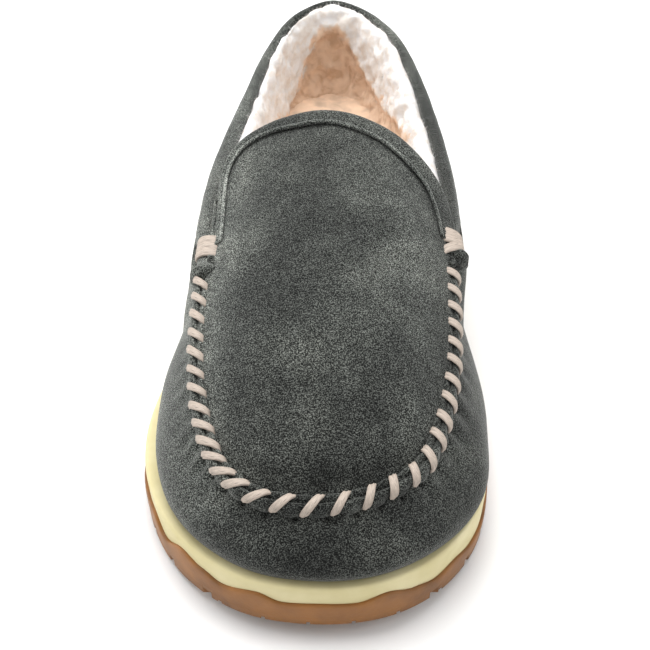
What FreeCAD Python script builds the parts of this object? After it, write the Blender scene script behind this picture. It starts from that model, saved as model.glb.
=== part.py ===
"""A pile-lined moccasin house slipper for the left foot, one STEP file for each piece.

Millimetres. The toe points along -Y, +Z is up and the outer side of the foot is +X. The sole
stands on Z = 0. The shapes are drawn about the foot's line, and save() moves them so that the
origin is under the middle of the slipper's box.
"""

import FreeCAD
import Part
import math
import os
from FreeCAD import Vector

MIDDLE_X = -3.56

# Sole
SOLE_OUTLINE = [
    (1, 148), (-17, 142), (-32, 121), (-38, 85), (-40, 40), (-45, 0), (-53, -35), (-59, -66),
    (-59, -91), (-53, -115), (-42, -132), (-25, -144), (-4, -148), (16, -145), (33, -134),
    (46, -115), (51.5, -91), (52.5, -65), (49.5, -35), (45, 0), (42, 40), (40, 85), (34, 121),
    (20, 142),
]
BALL_Y = -95.0
TOE_SPRING_RADIUS = 243.0
OUTSOLE_BASE = 4.0
RIM_HEIGHT = 8.0
RIM_THICKNESS = 3.0
RIM_WAVE = 2.2
RIM_WAVE_LENGTH = 47.0
RIM_WAVE_START = -118.0
WAVE_STEP = 7.75
MIDSOLE_SETBACK = 0.8
GROOVE_WIDTH = 3.0
GROOVE_DEPTH = 2.5
GROOVE_PITCH = 13.0
GROOVE_FIRST = -136.5
GROOVE_COUNT = 22
TOE_GROOVE_FIRST = -33.0
TOE_GROOVE_COUNT = 6
TOE_GROOVE_FRONT = -151.0
TOE_GROOVE_LENGTH = 27.0
TOE_GROOVE_SLOPE = 9.0

# Height of the midsole's top, from the toe to the heel
MIDSOLE_TOP = [(-156, 21.5), (-110, 18.3), (-60, 17.5), (0, 20), (70, 23.5), (156, 25.5)]

# Inside of the shoe
LIP_WIDTH = 4.5
BOARD_SETBACK = 8.0
BOARD_THICKNESS = 2.0
FOAM_SETBACK = 15.5
FOAM_THICKNESS = 6.0
COVER_THICKNESS = 2.5

# Suede upper: the raised seam round the plug, then the topline, both from the inner side
SEAM = [
    (-42.3, -57, 58.2), (-42.3, -75, 53.8), (-41, -93, 49.2), (-38, -108, 46),
    (-32, -122, 42.8), (-22, -130.5, 41.2), (-9, -133.8, 40.8), (4, -132.8, 40.9),
    (16, -128.5, 41.5), (26.5, -121, 43), (33, -107, 46), (36.8, -92, 49.5),
    (38.8, -74, 54), (39.8, -54, 59),
]
TOPLINE = [
    (-44.5, -44, 62), (-45.3, -22, 61.2), (-44.8, 10, 59.5), (-41.5, 44, 58.5),
    (-35.5, 75, 61.3), (-28.5, 103, 66.5), (-17, 127, 72.5), (1, 138, 75.5),
    (17, 131, 73.5), (30, 114, 69.5), (38, 88, 64), (43.5, 50, 59),
    (45, 10, 59.3), (44, -20, 61), (42.6, -40, 61.8),
]
SUEDE = 1.8
LAYER_GAP = 0.1
WALL_FRONT_STATIONS = 15
WALL_REAR_STATIONS = 11
TOPLINE_BAND = 7.0
BAND_WIDTH = 5.2
BAND_TAB = 11.0
COUNTER_THICKNESS = 1.2
PILE = 6.0
PILE_SETBACK = 2.0
STAY_WIDTH = 18.0
STAY_THICKNESS = 1.2
BACK_SEAM_GAP = 0.6

# Plug: Y, inner edge X, outer edge X, edge Z, middle Z
PLUG_STATIONS = [
    (-131, -17, 10, 41.5, 44), (-127, -26, 18, 42, 47.5), (-119, -33, 27, 43.5, 53),
    (-107, -37.5, 32.5, 46.2, 59.5), (-92, -40.5, 36, 49.8, 65.5), (-74, -41.8, 38.3, 54.3, 71),
    (-54, -41.8, 39.3, 59, 76), (-38, -40.5, 40.5, 62.5, 79.7), (-22, -39.8, 40.8, 67.5, 82.7),
    (-6, -38.5, 39.8, 74.5, 85.3), (10, -36, 38, 79, 87.5),
]
PLUG_SETBACK = 2.4
THROAT = [
    (-38.6, -42), (-38.7, -28), (-37, -17), (-31.5, -6.5), (-20, 1.8), (0, 6.6), (17, -0.5),
    (29, -10.5), (37, -19.5), (40.5, -30), (41.5, -41),
]
THROAT_BAND_WIDTH = 5.5
THROAT_BAND_HEIGHT = 3.4
PIPING_RADIUS = 0.9

# Cord sewn over the seam
RIDGE_RADIUS = 2.3
STITCH_COUNT = 31
STITCH_RADIUS = 0.9
STITCH_LEAN = 6.0
WRAP_TURNS = 3
WRAP_RADIUS = 1.2


def spline(points, closed=False):
    """A smooth curve through points."""
    curve = Part.BSplineCurve()
    curve.interpolate(Points=[Vector(*p) for p in points], PeriodicFlag=closed)
    return curve


def along(curve, first, last, count):
    """Points at equal steps of length on a curve, between two of its parameters."""
    step = curve.length(first, last) / (count - 1)
    return [curve.value(curve.parameterAtDistance(step * i, first)) for i in range(count)]


def height_of(table):
    """A function that reads a height from a table of (Y, Z), smoothly."""
    def height(y):
        for (y0, z0), (y1, z1) in zip(table, table[1:]):
            if y <= y1:
                break
        share = min(max((y - y0) / (y1 - y0), 0.0), 1.0)
        return z0 + (z1 - z0) * share
    return height


midsole_top = height_of(MIDSOLE_TOP)


def ground(y):
    """Height of the tread: flat from the ball to the heel, and rising under the toes."""
    ahead = max(BALL_Y - y, 0.0)
    return TOE_SPRING_RADIUS - math.sqrt(TOE_SPRING_RADIUS ** 2 - ahead ** 2)


def rim_top(y):
    """Height of the outsole's rim, in long waves that die out round the toe."""
    fade = min(max((y - RIM_WAVE_START) / RIM_WAVE_LENGTH, 0.0), 1.0)
    wave = math.sin(2 * math.pi * (y - RIM_WAVE_START) / RIM_WAVE_LENGTH)
    return ground(y) + RIM_HEIGHT + RIM_WAVE * fade * wave


SOLE_CURVE = spline([(x, y, 0) for x, y in SOLE_OUTLINE], closed=True)


def outward(parameter):
    """The level direction pointing out of the sole's edge."""
    tangent = SOLE_CURVE.tangent(parameter)[0]
    return Vector(tangent.y, -tangent.x, 0).normalize()


def sole_prism(setback):
    """A tall block with the sole's outline, set back from its edge."""
    count = 72
    points = []
    first, last = SOLE_CURVE.FirstParameter, SOLE_CURVE.LastParameter
    for i in range(count):
        parameter = first + (last - first) * i / count
        points.append(SOLE_CURVE.value(parameter) - outward(parameter) * setback)
    edge = spline(points, closed=True).toShape()
    return Part.Face(Part.Wire(edge)).extrude(Vector(0, 0, 60))


def side_slab(low, high, step):
    """A wide block between two heights that change along Y."""
    half_width = 80
    ys = [-155 + step * i for i in range(round(310 / step) + 1)]
    bottom = spline([(-half_width, y, low(y)) for y in ys])
    top = spline([(-half_width, y, high(y)) for y in ys])
    ends = [Part.makeLine(bottom.value(p), top.value(q)) for p, q in (
        (bottom.LastParameter, top.LastParameter), (bottom.FirstParameter, top.FirstParameter))]
    wire = Part.Wire([bottom.toShape(), ends[0], top.toShape(), ends[1]])
    return Part.Face(wire).extrude(Vector(2 * half_width, 0, 0))


def raised(height, lift):
    return lambda y: height(y) + lift


def layer(setback, low, high, step=15.5):
    """A layer of the sole with the given setback and heights."""
    return sole_prism(setback).common(side_slab(low, high, step))


def make_outsole():
    """A slab with a raised wavy rim, cut by grooves across the tread and along its toe."""
    solid = layer(0, ground, rim_top, WAVE_STEP)
    solid = solid.cut(layer(RIM_THICKNESS, raised(ground, OUTSOLE_BASE), raised(ground, 30)))
    grooves = []
    for i in range(GROOVE_COUNT):
        y = GROOVE_FIRST + GROOVE_PITCH * i
        groove = Part.makeBox(160, GROOVE_WIDTH, GROOVE_DEPTH + 2)
        groove.translate(Vector(-80, y - GROOVE_WIDTH / 2, ground(y) - 2))
        grooves.append(groove)
    solid = solid.cut(grooves)
    toe_grooves = []
    for i in range(TOE_GROOVE_COUNT):
        x = TOE_GROOVE_FIRST + GROOVE_PITCH * i
        groove = Part.makeBox(GROOVE_WIDTH, TOE_GROOVE_LENGTH, GROOVE_DEPTH + 2)
        groove.translate(Vector(x - GROOVE_WIDTH / 2, 0, -2))
        groove.rotate(Vector(0, 0, 0), Vector(1, 0, 0), -TOE_GROOVE_SLOPE)
        groove.translate(Vector(0, TOE_GROOVE_FRONT, ground(TOE_GROOVE_FRONT)))
        toe_grooves.append(groove)
    return solid.cut(toe_grooves)


def make_midsole():
    """Foam that fills the outsole's tray and stands above its rim."""
    above_rim = layer(MIDSOLE_SETBACK, rim_top, midsole_top, WAVE_STEP)
    filling = layer(RIM_THICKNESS, raised(ground, OUTSOLE_BASE), raised(midsole_top, -3))
    return above_rim.fuse(filling)


def wall_point(base, top, out, share, depth, bulge):
    """A point on the wall's section: share runs from the base to the top, depth goes inward."""
    rise = top.z - base.z
    handles = [base, base + out * bulge + Vector(0, 0, rise * 0.45),
               top + out * bulge * 0.8 - Vector(0, 0, rise * 0.35), top]
    rest = 1 - share
    weights = [rest ** 3, 3 * rest ** 2 * share, 3 * rest * share ** 2, share ** 3]
    point = Vector(0, 0, 0)
    for handle, weight in zip(handles, weights):
        point += handle * weight
    slope = (handles[1] - handles[0]) * (3 * rest ** 2)
    slope += (handles[2] - handles[1]) * (6 * rest * share)
    slope += (handles[3] - handles[2]) * (3 * share ** 2)
    normal = out * slope.z - Vector(0, 0, 1) * slope.dot(out)
    return point - normal.normalize() * depth


def section(outer, inner):
    """A closed wire: up the outer side, across the top, down the inner side and back."""
    a = spline(outer)
    b = spline(inner)
    return Part.Wire([
        a.toShape(), Part.makeLine(outer[-1], inner[-1]),
        b.toShape(), Part.makeLine(inner[0], outer[0])])


def wall_solid(stations, depth, thickness, low_share=0.0, high_share=1.0, lean=0.0):
    """A layer of the wall, lofted through its stations. Its top is set inward by lean."""
    wires = []
    for base, top, out, bulge in stations:
        shares = [low_share + (high_share - low_share) * i / 5 for i in range(6)]
        depths = [depth + lean * share ** 3 for share in shares]
        outer = [wall_point(base, top, out, s, d, bulge) for s, d in zip(shares, depths)]
        inner = [wall_point(base, top, out, s, d + thickness, bulge) for s, d in zip(shares, depths)]
        wires.append(section(outer, inner))
    return Part.makeLoft(wires, True, False)


def edge_stations(top_points, first, last, bulges):
    """Pair points of the sole's edge with points of the wall's upper edge."""
    count = len(top_points)
    step = SOLE_CURVE.length(first, last) / (count - 1)
    stations = []
    for i, top in enumerate(top_points):
        parameter = SOLE_CURVE.parameterAtDistance(step * i, first)
        out = outward(parameter)
        base = SOLE_CURVE.value(parameter) - out * LIP_WIDTH
        base.z = midsole_top(base.y)
        level = Vector(-out.y, out.x, 0)
        top = top - level * (top - base).dot(level)
        share = i / (count - 1)
        bulge = bulges[0] + (bulges[1] - bulges[0]) * math.sin(math.pi * share)
        stations.append((base, top, out, bulge))
    return stations


def wall_stations(drop):
    """The wall's stations: inner quarter, front and outer quarter, from heel round to heel.

    Behind the seam the wall's upper edge is the topline less a drop.
    """
    whole = SOLE_CURVE.length()
    first = SOLE_CURVE.parameterAtDistance(BACK_SEAM_GAP / 2, SOLE_CURVE.FirstParameter)
    last = SOLE_CURVE.parameterAtDistance(whole - BACK_SEAM_GAP / 2, SOLE_CURVE.FirstParameter)
    inner = SOLE_CURVE.parameter(Vector(-55, -48, 0))
    outer = SOLE_CURVE.parameter(Vector(51, -46, 0))
    seam = spline([(x, y, z) for x, y, z in SEAM])
    top = spline([(x, y, z - drop) for x, y, z in TOPLINE])
    middle = top.parameter(Vector(*TOPLINE[len(TOPLINE) // 2]))
    seam_top = along(seam, seam.FirstParameter, seam.LastParameter, WALL_FRONT_STATIONS)
    inner_top = along(top, top.FirstParameter, middle, WALL_REAR_STATIONS)
    outer_top = along(top, middle, top.LastParameter, WALL_REAR_STATIONS)
    front = edge_stations(seam_top, inner, outer, (4.0, 6.0))
    front = [(b, lowered_edge(t, o), o, g) for b, t, o, g in front]
    rear_inner = edge_stations(inner_top[::-1], first, inner, (4.0, 5.0))
    rear_outer = edge_stations(outer_top[::-1], outer, last, (4.0, 5.0))
    return rear_inner, front, rear_outer


def lowered_edge(point, out):
    """Where the wall meets the seam's ridge: outside its middle and a little lower."""
    return point + out * (RIDGE_RADIUS + 0.2) - Vector(0, 0, 1.6)


def make_wall(stations):
    inner, front, outer = stations
    ring = inner[:-1] + front + outer[1:]
    return wall_solid(ring, 0, SUEDE)


def make_back_stay():
    """The narrow strip sewn over the wall's back seam."""
    heel = Vector(*TOPLINE[len(TOPLINE) // 2])
    whole = SOLE_CURVE.length()
    stations = []
    for i in range(5):
        shift = STAY_WIDTH * (i / 4 - 0.5)
        parameter = SOLE_CURVE.parameterAtDistance(shift % whole, SOLE_CURVE.FirstParameter)
        out = outward(parameter)
        base = SOLE_CURVE.value(parameter) - out * LIP_WIDTH
        base.z = midsole_top(base.y)
        top = heel + Vector(base.x - heel.x, -abs(base.x - heel.x) ** 2 / 50, -TOPLINE_BAND)
        level = Vector(-out.y, out.x, 0)
        top = top - level * (top - base).dot(level)
        stations.append((base, top, out, 4.0))
    return wall_solid(stations, -STAY_THICKNESS - LAYER_GAP, STAY_THICKNESS)


def tube(curve, radius):
    """A round bar along a curve."""
    start = curve.FirstParameter
    ring = Part.Circle(curve.value(start), curve.tangent(start)[0], radius)
    spine = Part.Wire(curve.toShape())
    return spine.makePipeShell([Part.Wire(ring.toShape())], True, True)


def band_solid(points, half_width, low, high):
    """A soft-cornered band that follows a line, thick across it and upright."""
    curve = spline(points)
    wires = []
    for point, parameter in zip(points, [curve.parameter(Vector(*p)) for p in points]):
        centre = Vector(*point)
        tangent = curve.tangent(parameter)[0]
        across = Vector(tangent.y, -tangent.x, 0).normalize()
        ring = []
        for i in range(12):
            angle = 2 * math.pi * i / 12
            bulge = abs(math.cos(angle)) ** 0.7 * math.copysign(1, math.cos(angle))
            height = (high if math.sin(angle) > 0 else low) * abs(math.sin(angle)) ** 0.7
            height = math.copysign(height, math.sin(angle))
            ring.append(centre + across * half_width * bulge + Vector(0, 0, height))
        wires.append(Part.Wire(spline(ring, closed=True).toShape()))
    return Part.makeLoft(wires, True, False)


def make_collar_band():
    """The folded band on the topline, whose two cut ends stick out beyond the cord wraps."""
    inner = Vector(*TOPLINE[0])
    outer = Vector(*TOPLINE[-1])
    inset = BAND_WIDTH / 2 - 0.4
    curve = spline(TOPLINE)
    points = [inner + Vector(0.8, -BAND_TAB, -2.2)]
    for point in along(curve, curve.FirstParameter, curve.LastParameter, 21):
        tangent = curve.tangent(curve.parameter(point))[0]
        inward = Vector(tangent.y, -tangent.x, 0).normalize()
        points.append(point + inward * inset - Vector(0, 0, TOPLINE_BAND / 2 - 0.5))
    points.append(outer + Vector(-1.2, -BAND_TAB, -2.2))
    return band_solid([tuple(p) for p in points], BAND_WIDTH / 2, TOPLINE_BAND / 2, TOPLINE_BAND / 2)


def plug_height(station, x, depth):
    """Height of the domed plug at X in one of its cross sections."""
    y, left, right, edge, middle = station
    centre = (left + right) / 2
    share = abs(x - centre) / ((right - left) / 2)
    return middle - (middle - edge) * share ** 2.3 - depth


def plug_layer(depth, thickness, setback):
    """A domed layer lofted through the plug's stations and cut to the throat line."""
    wires = []
    for station in PLUG_STATIONS:
        y, left, right, edge, middle = station
        centre = (left + right) / 2
        half = (right - left) / 2 - setback
        xs = [centre + half * s for s in (-1, -0.82, -0.6, -0.32, 0, 0.32, 0.6, 0.82, 1)]
        outer = [Vector(x, y, plug_height(station, x, depth)) for x in xs]
        inner = [Vector(x, y, plug_height(station, x, depth + thickness)) for x in xs]
        wires.append(section(outer, inner))
    return Part.makeLoft(wires, True, False)


def throat_prism():
    """The block ahead of the throat line, which trims the plug's layers."""
    edge = spline([(x, y, 20) for x, y in THROAT])
    start, end = edge.value(edge.FirstParameter), edge.value(edge.LastParameter)
    corners = [end, Vector(70, end.y, 20), Vector(70, -160, 20), Vector(-70, -160, 20),
               Vector(-70, start.y, 20), start]
    wire = Part.Wire([edge.toShape()] + Part.makePolygon(corners).Edges)
    return Part.Face(wire).extrude(Vector(0, 0, 80))


def plug_top(x, y):
    """Height of the plug's top between two of its stations."""
    for low, high in zip(PLUG_STATIONS, PLUG_STATIONS[1:]):
        if y <= high[0]:
            break
    share = (y - low[0]) / (high[0] - low[0])
    return plug_height(low, x, 0) * (1 - share) + plug_height(high, x, 0) * share


def throat_points(offset, lift):
    """Points along the throat on the plug's top, moved ahead of its edge by offset."""
    edge = spline([(x, y, 0) for x, y in THROAT])
    points = []
    for point in along(edge, edge.FirstParameter, edge.LastParameter, 15):
        tangent = edge.tangent(edge.parameter(point))[0]
        ahead = Vector(tangent.y, -tangent.x, 0).normalize()
        moved = point + ahead * offset
        points.append((moved.x, moved.y, plug_top(moved.x, moved.y) + lift))
    return points


def stitch(centre, tangent, radius, lean, bar):
    """A bent bar over the seam, from the wall's side to the plug's side."""
    out = Vector(-tangent.y, tangent.x, 0).normalize() * -1
    up = Vector(0, 0, 1)
    ends = []
    for angle, shift in ((-35, -lean / 2), (90, 0), (190, lean / 2)):
        turn = math.radians(angle)
        side = out * (radius * math.cos(turn)) + up * (radius * math.sin(turn))
        ends.append(centre + side + tangent * shift)
    arc = Part.Arc(*ends)
    start = arc.FirstParameter
    ring = Part.Circle(arc.value(start), arc.tangent(start)[0], bar)
    return Part.Wire(arc.toShape()).makePipeShell([Part.Wire(ring.toShape())], True, True)


def make_lacing():
    """The whipstitch over the raised seam, one bar for each turn."""
    curve = spline(SEAM)
    places = along(curve, curve.FirstParameter, curve.LastParameter, STITCH_COUNT)
    bars = []
    for place in places:
        tangent = curve.tangent(curve.parameter(place))[0]
        bars.append(stitch(place, tangent, RIDGE_RADIUS + STITCH_RADIUS + 0.05, STITCH_LEAN,
                           STITCH_RADIUS))
    return Part.Compound(bars)


def make_wrap(centre, tangent):
    """Turns of cord side by side that tie down one end of the collar band."""
    bars = []
    for i in range(WRAP_TURNS):
        place = centre + tangent * (i - (WRAP_TURNS - 1) / 2) * WRAP_RADIUS * 2.1
        bars.append(stitch(place, tangent, RIDGE_RADIUS + WRAP_RADIUS + 1.4, 0, WRAP_RADIUS))
    return Part.Compound(bars)


def save(name, shape):
    """Write one piece and say how it came out."""
    shape.translate(Vector(-MIDDLE_X, 0, 0))
    shape.exportStep(f"parts/{name}.step")
    box = shape.BoundBox
    sizes = (box.XMin, box.XMax, box.YMin, box.YMax, box.ZMin, box.ZMax)
    print(name, "valid" if shape.isValid() else "NOT VALID", len(shape.Solids),
          round(shape.Volume), [round(v, 1) for v in sizes])


def main():
    os.makedirs("parts", exist_ok=True)
    board_top = raised(midsole_top, BOARD_THICKNESS)
    foam_top = raised(board_top, FOAM_THICKNESS)
    save("outsole", make_outsole())
    save("midsole", make_midsole())
    save("lasting_board", layer(BOARD_SETBACK, midsole_top, board_top))
    save("footbed_foam", layer(FOAM_SETBACK, board_top, foam_top))
    save("footbed_cover", layer(FOAM_SETBACK, foam_top, raised(foam_top, COVER_THICKNESS)))

    stations = wall_stations(TOPLINE_BAND)
    inner, front, outer = stations
    save("moccasin_wall", make_wall(stations))
    save("back_stay", make_back_stay())
    lining_depth = SUEDE + LAYER_GAP
    rear = outer[1:-1] + inner[:-1]
    save("heel_counter", wall_solid(rear[5:-5], lining_depth, COUNTER_THICKNESS, 0.1, 0.8))
    save("vamp_lining", wall_solid(front, lining_depth, PILE - 1.5, 0.12, 0.86))
    inner, front, outer = wall_stations(0)
    rear = outer[1:-1] + inner[:-1]
    rear_depth = lining_depth + COUNTER_THICKNESS + LAYER_GAP
    save("quarter_lining", wall_solid(rear, rear_depth, PILE, 0.12, 1.0, PILE_SETBACK))

    throat = throat_prism()
    save("plug", plug_layer(0, SUEDE, PLUG_SETBACK).common(throat))
    save("plug_lining", plug_layer(SUEDE + LAYER_GAP, PILE - 1.0, PLUG_SETBACK + 5).common(throat))
    save("seam_ridge", tube(spline(SEAM), RIDGE_RADIUS))
    save("collar_band", make_collar_band())
    save("throat_band", band_solid(throat_points(0.4, -0.2), THROAT_BAND_WIDTH / 2,
                                   THROAT_BAND_HEIGHT / 2, THROAT_BAND_HEIGHT / 2))
    save("throat_piping", tube(spline(throat_points(4.2, 0.6)), PIPING_RADIUS))
    save("whipstitch_lacing", make_lacing())
    save("bar_wrap_medial", make_wrap(Vector(-42.0, -47.5, 60.8), Vector(0, 1, 0.25).normalize()))
    save("bar_wrap_lateral", make_wrap(Vector(40.6, -44.5, 60.8), Vector(0, 1, 0.25).normalize()))


main()
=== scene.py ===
"""Builds the looks of a pile-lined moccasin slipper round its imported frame, laid out as an add-on."""

import math
import random

import bmesh
import bpy
import numpy as np
from bpy.props import FloatProperty, FloatVectorProperty, IntProperty, PointerProperty
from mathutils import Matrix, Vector, noise


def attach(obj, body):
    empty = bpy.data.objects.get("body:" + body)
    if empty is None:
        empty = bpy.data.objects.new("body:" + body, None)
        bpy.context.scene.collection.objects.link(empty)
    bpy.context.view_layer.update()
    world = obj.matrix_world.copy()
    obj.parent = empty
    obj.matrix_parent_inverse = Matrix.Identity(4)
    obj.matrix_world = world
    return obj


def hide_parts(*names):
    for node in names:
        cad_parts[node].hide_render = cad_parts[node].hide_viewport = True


bl_info = {
    "name": "Moccasin Slipper",
    "version": (1, 0, 0),
    "blender": (4, 5, 0),
    "location": "3D View > Sidebar > Slipper",
    "description": "Models the suede, pile, cord and rubber of a moccasin house slipper",
    "category": "Object",
}

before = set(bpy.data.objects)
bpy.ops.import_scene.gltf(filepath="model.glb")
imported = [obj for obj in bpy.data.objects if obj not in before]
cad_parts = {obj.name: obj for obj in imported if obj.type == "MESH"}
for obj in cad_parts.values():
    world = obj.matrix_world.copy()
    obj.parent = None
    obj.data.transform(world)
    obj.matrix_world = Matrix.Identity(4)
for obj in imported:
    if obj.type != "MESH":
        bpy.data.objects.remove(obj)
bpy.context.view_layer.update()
MM = 0.001
BODY = "root"

# The slipper's own lines, in millimetres from the line of the foot, which runs beside the origin.
FOOT_LINE_X = 3.56
SOLE_OUTLINE = [
    (1, 148), (-17, 142), (-32, 121), (-38, 85), (-40, 40), (-45, 0), (-53, -35), (-59, -66),
    (-59, -91), (-53, -115), (-42, -132), (-25, -144), (-4, -148), (16, -145), (33, -134),
    (46, -115), (51.5, -91), (52.5, -65), (49.5, -35), (45, 0), (42, 40), (40, 85), (34, 121),
    (20, 142),
]
MIDSOLE_TOP = [(-156, 21.5), (-110, 18.3), (-60, 17.5), (0, 20), (70, 23.5), (156, 25.5)]
SEAM = [
    (-42.3, -57, 58.2), (-42.3, -75, 53.8), (-41, -93, 49.2), (-38, -108, 46),
    (-32, -122, 42.8), (-22, -130.5, 41.2), (-9, -133.8, 40.8), (4, -132.8, 40.9),
    (16, -128.5, 41.5), (26.5, -121, 43), (33, -107, 46), (36.8, -92, 49.5),
    (38.8, -74, 54), (39.8, -54, 59),
]
TOPLINE = [
    (-44.5, -44, 62), (-45.3, -22, 61.2), (-44.8, 10, 59.5), (-41.5, 44, 58.5),
    (-35.5, 75, 61.3), (-28.5, 103, 66.5), (-17, 127, 72.5), (1, 138, 75.5),
    (17, 131, 73.5), (30, 114, 69.5), (38, 88, 64), (43.5, 50, 59),
    (45, 10, 59.3), (44, -20, 61), (42.6, -40, 61.8),
]
PLUG_STATIONS = [
    (-131, -17, 10, 41.5, 44), (-127, -26, 18, 42, 47.5), (-119, -33, 27, 43.5, 53),
    (-107, -37.5, 32.5, 46.2, 59.5), (-92, -40.5, 36, 49.8, 65.5), (-74, -41.8, 38.3, 54.3, 71),
    (-54, -41.8, 39.3, 59, 76), (-38, -40.5, 40.5, 62.5, 79.7), (-22, -39.8, 40.8, 67.5, 82.7),
    (-6, -38.5, 39.8, 74.5, 85.3), (10, -36, 38, 79, 87.5),
]
THROAT = [
    (-38.6, -44), (-38.7, -32), (-38.8, -20), (-37.6, -11), (-34, -4.6), (-28, -0.4), (-18, 2.8),
    (0, 5.2), (17, -1.4), (29, -10.5), (37, -19.5), (40.5, -30), (41.5, -41),
]
THROAT_WIDTHS = [(0, 1.6), (0.2, 1.9), (0.32, 3.6), (0.45, 6.0), (0.62, 6.4), (0.8, 6.0), (1, 4.4)]
BAND_INSETS = [(0, 1.5), (0.25, 1.75), (0.42, 1.3), (0.5, 0.85), (0.58, 1.25), (0.75, 1.65), (1, 1.4)]
PILE_FOOT = [
    (-27, -46), (-27, 0), (-26, 40), (-23, 78), (-20, 99), (-13.5, 114), (-6, 120), (1, 121.5),
    (8.5, 119.5), (15, 110), (19, 96), (21.5, 78), (26, 40), (28, 0), (28, -46),
]
# Height of the hollow's edge in the heel, across the slipper: below it the pile is recessed and
# coloured tan, partly its own tan and partly painted shade.
HOLLOW_EDGE_HEIGHTS = [
    (-20, 38), (-13.5, 39.5), (-10, 45), (-7, 52.5), (-4.5, 60.5), (0, 65.5), (6.5, 67.5), (11.5, 62),
    (17, 54), (21, 48.5), (25, 46.5), (28.5, 48), (32, 52.5),
]
RIM_HEIGHTS = [
    (0, 9.5), (0.033, 6.6), (0.066, 10.4), (0.1, 6.6), (0.133, 10.4), (0.166, 6.6), (0.2, 10.4),
    (0.233, 6.6), (0.266, 10.4), (0.3, 6.6), (0.333, 10.4), (0.362, 7.0), (0.392, 11.5),
    (0.405, 12.0), (0.417, 8.2), (0.434, 13.4), (0.446, 11.4), (0.457, 9.4), (0.474, 11.6),
    (0.485, 8.8), (0.5, 9.1), (0.515, 8.7), (0.529, 11.4), (0.542, 8.8), (0.553, 7.4),
    (0.566, 8.8), (0.582, 6.6), (0.6, 5.8), (0.62, 7.6), (0.65, 10.4), (0.69, 6.6), (0.727, 10.4),
    (0.76, 6.6), (0.794, 10.4), (0.827, 6.6), (0.86, 10.4), (0.894, 6.6), (0.927, 10.4),
    (0.96, 6.6), (1, 9.5),
]
TOPLINE_SPREAD = 1.5
BALL_Y = -95.0
TOE_SPRING_RADIUS = 243.0
LENS_LENGTH = 52.615385


def length_prop(name, text, millimetres):
    return FloatProperty(name=name, description=text, default=millimetres * MM, unit="LENGTH",
                         min=0.0, precision=5)


def colour_prop(name, text, rgb):
    return FloatVectorProperty(name=name, description=text, default=rgb, size=3, min=0.0, max=1.0,
                               subtype="COLOR_GAMMA")


class SlipperSizes(bpy.types.PropertyGroup):
    suede: length_prop("Suede", "Thickness of the suede", 1.6)
    cord_width: length_prop("Cord width", "Width of the flat sewing cord", 2.4)
    cord_thickness: length_prop("Cord thickness", "Thickness of the sewing cord", 1.0)
    cord_lean: length_prop("Cord lean", "How far a stitch runs along the seam", 6.2)
    stitches: IntProperty(name="Stitches", description="Turns of cord over the seam", default=31,
                          min=3)
    fibre: length_prop("Fibre", "Length of the loose fibres on the pile", 2.2)


class SlipperColours(bpy.types.PropertyGroup):
    suede: colour_prop("Suede", "Main colour of the suede", (0.245, 0.2525, 0.243))
    suede_dark: colour_prop("Suede shade", "Colour of the brushed-down nap", (0.198, 0.204, 0.198))
    suede_light: colour_prop("Suede light", "Colour of the raised nap", (0.315, 0.322, 0.308))
    pile: colour_prop("Pile", "Colour of the lining's pile", (0.912, 0.905, 0.9))
    tan: colour_prop("Tan", "Colour of the footbed's pile", (0.885, 0.775, 0.675))
    cord: colour_prop("Cord", "Colour of the sewing cord", (0.735, 0.68, 0.63))
    midsole: colour_prop("Midsole", "Colour of the midsole's foam", (0.87, 0.83, 0.665))
    gum: colour_prop("Gum", "Colour of the outsole's rubber", (0.54, 0.352, 0.15))


# ---------------------------------------------------------------------------- lines and surfaces


class Line:
    """A smooth line through a few points, read by its share of length."""

    def __init__(self, points, closed=False, steps=24):
        p = np.array(points, float)
        before = np.roll(p, 1, axis=0)
        after = np.roll(p, -1, axis=0)
        if not closed:
            before[0] = 2 * p[0] - p[1]
            after[-1] = 2 * p[-1] - p[-2]
        gap_in = np.linalg.norm(p - before, axis=1)
        gap_out = np.linalg.norm(after - p, axis=1)
        slope = (after - before) / (gap_in + gap_out)[:, None]
        t = np.linspace(0, 1, steps, endpoint=False)[:, None]
        dense = []
        for i in range(len(p) if closed else len(p) - 1):
            j = (i + 1) % len(p)
            dense.append((2 * t**3 - 3 * t**2 + 1) * p[i] + (3 * t**2 - 2 * t**3) * p[j]
                         + (t**3 - 2 * t**2 + t) * slope[i] * gap_out[i]
                         + (t**3 - t**2) * slope[j] * gap_out[i])
        dense.append(p[:1] if closed else p[-1:])
        self.points = np.concatenate(dense)
        steps_along = np.linalg.norm(np.diff(self.points, axis=0), axis=1)
        self.run = np.concatenate([[0], np.cumsum(steps_along)])
        self.length = self.run[-1]

    def at(self, share):
        """The point, or points, at a share of the length."""
        along = np.asarray(share) * self.length
        columns = [np.interp(along, self.run, c) for c in self.points.T]
        return np.stack(columns, axis=-1)

    def tangent(self, share):
        step = 1.0 / self.length
        way = self.at(np.asarray(share) + step) - self.at(np.asarray(share) - step)
        return way / np.linalg.norm(way, axis=-1, keepdims=True)

    def nearest(self, x, y):
        """The share of the length at the point nearest to X, Y."""
        return self.run[np.argmin(np.hypot(self.points[:, 0] - x, self.points[:, 1] - y))] / self.length


def ease(share):
    share = min(max(share, 0.0), 1.0)
    return share * share * (3 - 2 * share)


def bell(value, centre, width):
    """A smooth bump: 1 at the centre and fading to nothing on both sides."""
    return math.exp(-(((value - centre) / width) ** 2))


def level_right(way, side=1.0):
    """The level direction to the right of a way, or to its left with a side of -1."""
    out = np.array([way[1], -way[0], 0.0]) * side
    return out / np.linalg.norm(out)


def placed(x, y, z):
    """A point in metres from millimetres measured from the line of the foot."""
    return Vector(((x + FOOT_LINE_X) * MM, y * MM, z * MM))


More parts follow.
